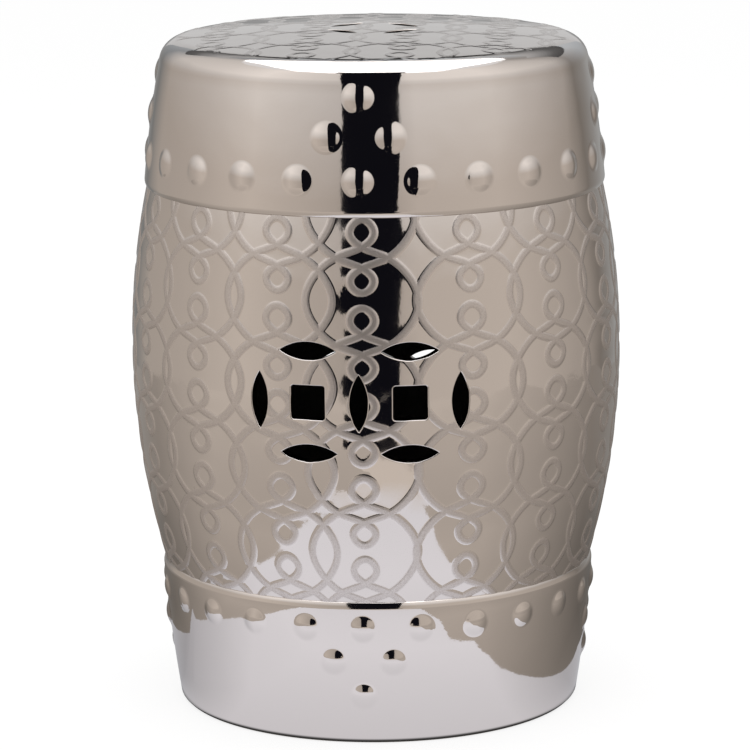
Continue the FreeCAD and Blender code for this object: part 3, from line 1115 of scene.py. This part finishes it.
# The sheet's first stop, nearly black, is a painted contact shadow under the foot; its tints darken it
# towards the sides as painted shade of the stool
SHEET_TONES = ((0.1365, 0.05), (0.1415, dim(LILAC, 0.9)), (0.28, dim(LILAC, 1.05)),
               (0.42, dim(LILAC, 1.0)), (0.55, dim(WARM, 0.8)))
SHEET_TINTS = ((-95, 0.5), (-50, 1.0), (45, 1.0), (85, 0.6), (180, 0.5))
BACK_TONES = ((0.48, 0.3), (0.54, 0.65), (0.98, 0.6), (1.03, 0.03), (1.45, 0.03))
# Painted shade of the stool in the floor's reflection: darker nearer to SHADE_CENTRE, behind the stool
SHADE_TONES = ((0.26, 0.55), (0.48, 1.0))
SHADE_CENTRE = (0.0, 0.15, 0.0)
PLAIN = ((0, 1.0), (180, 1.0))
GAP_TONES = ((0.0, DARK), (3.0, DARK))
HIGH_TONES = ((0.97, 0.1), (1.1, 0.15), (1.5, 0.55))

# The cards glow without lighting anything: they paint the reflections on the glaze, pale walls to the
# sides, a dark gap on the camera's side and darker cards behind
# Cards: name, tones, tints, span in degrees, foot and top in metres, how far the near edge
# leans sideways in degrees, and distance in metres
CARDS = (("card_left", WALL_TONES, WALL_TINTS, (-13.4, -180.0), (0.0, 1.9), -8.0, 1.2),
         ("card_right", WALL_TONES, WALL_TINTS, (9.5, 180.0), (0.0, 1.9), 8.0, 1.2),
         ("card_gap", GAP_TONES, PLAIN, (-26.0, 22.0), (0.0, 2.2), 0.0, 1.22),
         ("card_back", BACK_TONES, PLAIN, (-160.0, -200.0), (0.0, 1.45), 0.0, 1.18),
         ("card_high_left", HIGH_TONES, PLAIN, (-140.0, -168.0), (0.99, 1.5), 0.0, 1.16),
         ("card_high_right", HIGH_TONES, PLAIN, (124.0, 168.0), (0.94, 1.5), 0.0, 1.16))
CARD_STEP = 2

# Floor and lamp, in metres and watts
FLOOR_R = 8.0
FLOOR_SIDES = 64
FLOOR_COLOUR = (0.93, 0.93, 0.93, 1.0)
FLOOR_LIFT = 0.8
LAMP_SIZE = (2.5, 2.9)
LAMP_WATTS = 36.0
LAMP_PLACE = (0.0, -0.16, 2.4)

# Edge of the white sheet: azimuth, distance and height of its curl, in degrees and millimetres
SHEET_EDGE = ((-160, 330, 0), (-110, 240, 0), (-90, 205, 20), (-85, 215, 40), (-80, 200, 40),
              (-65, 220, 40), (-50, 240, 40), (-40, 275, 40), (-30, 345, 30), (-20, 440, 10),
              (-10, 550, 0), (0, 640, 0), (10, 650, 0), (15, 570, 0), (20, 420, 0),
              (30, 300, 0), (40, 280, 0), (50, 225, 0), (75, 180, 0), (110, 200, 0), (155, 335, 0))
SHEET_FLAT = 0.8
SHEET_LIFT = 0.0004
FRONT_LIFT = 0.0002
FRONT_EDGE = [(-0.17, -0.68), (-0.30, -1.21), (0.28, -1.21), (0.115, -0.70)]


def studio_tone(shading, tones, tints, flat):
    """What reflections see: tones by height, or by distance if flat, and tints by azimuth."""
    parts = shading.feed(shading.add("ShaderNodeSeparateXYZ"), {0: shading.place})
    back = shading.operate("MULTIPLY", parts["Y"], -1.0)
    turn = shading.operate("ARCTAN2", parts["X"], back)
    azimuth = shading.operate("MULTIPLY", turn, math.degrees(1.0))
    far = shading.measure("LENGTH", shading.place) if flat else parts["Z"]
    return shading.mix_colours(1.0, shading.ramp(far, tones), shading.ramp(azimuth, tints),
                               "MULTIPLY")


def stage_mesh(name, points, faces, material):
    """Studio piece given in metres with the camera on the -Y side."""
    mesh = bpy.data.meshes.new(name)
    mesh.from_pydata(points, [], faces)
    mesh.materials.append(material)
    thing = bpy.data.objects.new(name, mesh)
    thing.rotation_euler.z = math.radians(CAMERA_TURN)
    bpy.context.scene.collection.objects.link(thing)
    return thing


def gloss_mesh(name, points, faces, material):
    """Studio piece that only reflections see."""
    thing = stage_mesh(name, points, faces, material)
    thing.visible_camera = False
    thing.visible_diffuse = False
    thing.visible_transmission = False
    thing.visible_shadow = False
    thing.visible_volume_scatter = False


def toward(azimuth, distance, z):
    turn = math.radians(azimuth)
    return (math.sin(turn) * distance, -math.cos(turn) * distance, z)


def card(name, tones, tints, span, heights, lean, distance):
    """Upright curved card that only reflections see, glowing with painted tones."""
    low, high = span
    foot, top = heights
    steps = max(2, int(abs(high - low) / CARD_STEP))
    points = []
    for i in range(steps + 1):
        share = i / steps
        angle = low + (high - low) * share
        points.append(toward(angle, distance, foot))
        points.append(toward(angle + lean * (1 - share), distance, top))
    faces = [(2 * i, 2 * i + 2, 2 * i + 3, 2 * i + 1) for i in range(steps)]
    gloss_mesh(name, points, faces, glow_material(name, tones, tints, False))


def floor_material(name):
    """White floor that takes shadows. Reflections see its tones and the stool's own shade."""
    shading = Shading(name)
    matte = shading.surface("ShaderNodeBsdfDiffuse", {"Color": FLOOR_COLOUR})
    lift = shading.surface("ShaderNodeEmission", {})
    path = shading.add("ShaderNodeLightPath").outputs
    lifted = shading.operate("MULTIPLY", path["Is Camera Ray"], FLOOR_LIFT)
    seen = shading.mix_shaders(lifted, matte, lift)
    # Glossy rays see a glow in place of the lit floor: painted tones, darkened by a painted shade of the
    # stool round it
    tone = studio_tone(shading, FLOOR_TONES, FLOOR_TINTS, True)
    shade = shading.ramp(shading.measure("DISTANCE", shading.place, SHADE_CENTRE), SHADE_TONES)
    shaded = shading.mix_colours(1.0, tone, shade, "MULTIPLY")
    glow = shading.surface("ShaderNodeEmission", {"Color": shaded})
    return shading.finish(shading.mix_shaders(path["Is Glossy Ray"], seen, glow))


def glow_material(name, tones, tints, flat):
    shading = Shading(name)
    tone = studio_tone(shading, tones, tints, flat)
    return shading.finish(shading.surface("ShaderNodeEmission", {"Color": tone}))


def add_floor():
    ring = [toward(360.0 * i / FLOOR_SIDES, FLOOR_R, 0.0) for i in range(FLOOR_SIDES)]
    stage_mesh("floor", ring, [range(FLOOR_SIDES)], floor_material("floor_white"))
    # Dark patch in front that only reflections see: painted darkness in the floor's reflection on the
    # camera's side
    dark = [(x, y, FRONT_LIFT) for x, y in FRONT_EDGE]
    gloss_mesh("floor_front", dark, [range(len(dark))],
               glow_material("floor_front_dark", GAP_TONES, PLAIN, True))


def add_sheet():
    """Glowing sheet under the stool, curled up along one side, that only reflections see: a painted
    reflection of white paper, with a painted contact shadow at the foot and painted shade to the sides.
    """
    count = len(SHEET_EDGE)
    flat = [toward(a, r * SHEET_FLAT * MM, SHEET_LIFT) for a, r, z in SHEET_EDGE]
    edge = [toward(a, r * MM, z * MM + SHEET_LIFT) for a, r, z in SHEET_EDGE]
    faces = [range(count)]
    faces += [(i, (i + 1) % count, count + (i + 1) % count, count + i) for i in range(count)]
    gloss_mesh("floor_sheet", flat + edge, faces,
               glow_material("floor_sheet_white", SHEET_TONES, SHEET_TINTS, True))


def add_light():
    data = bpy.data.lights.new("overhead", "AREA")
    data.shape = "RECTANGLE"
    data.size = LAMP_SIZE[0]
    data.size_y = LAMP_SIZE[1]
    data.energy = LAMP_WATTS
    lamp = bpy.data.objects.new("overhead", data)
    lamp.location = LAMP_PLACE
    lamp.visible_camera = False
    bpy.context.scene.collection.objects.link(lamp)


def add_world():
    world = bpy.data.worlds.new("studio")
    world.use_nodes = True
    nodes = world.node_tree.nodes
    nodes.clear()
    glow = nodes.new("ShaderNodeBackground")
    glow.inputs["Color"].default_value = (*WHITE, 1.0)
    glow.inputs["Strength"].default_value = 1.0
    out = nodes.new("ShaderNodeOutputWorld")
    world.node_tree.links.new(glow.outputs[0], out.inputs["Surface"])
    bpy.context.scene.world = world


add_camera()
build_stool()
add_floor()
add_sheet()
for row in CARDS:
    card(*row)
add_light()
add_world()
bpy.context.scene.view_settings.view_transform = "Standard"
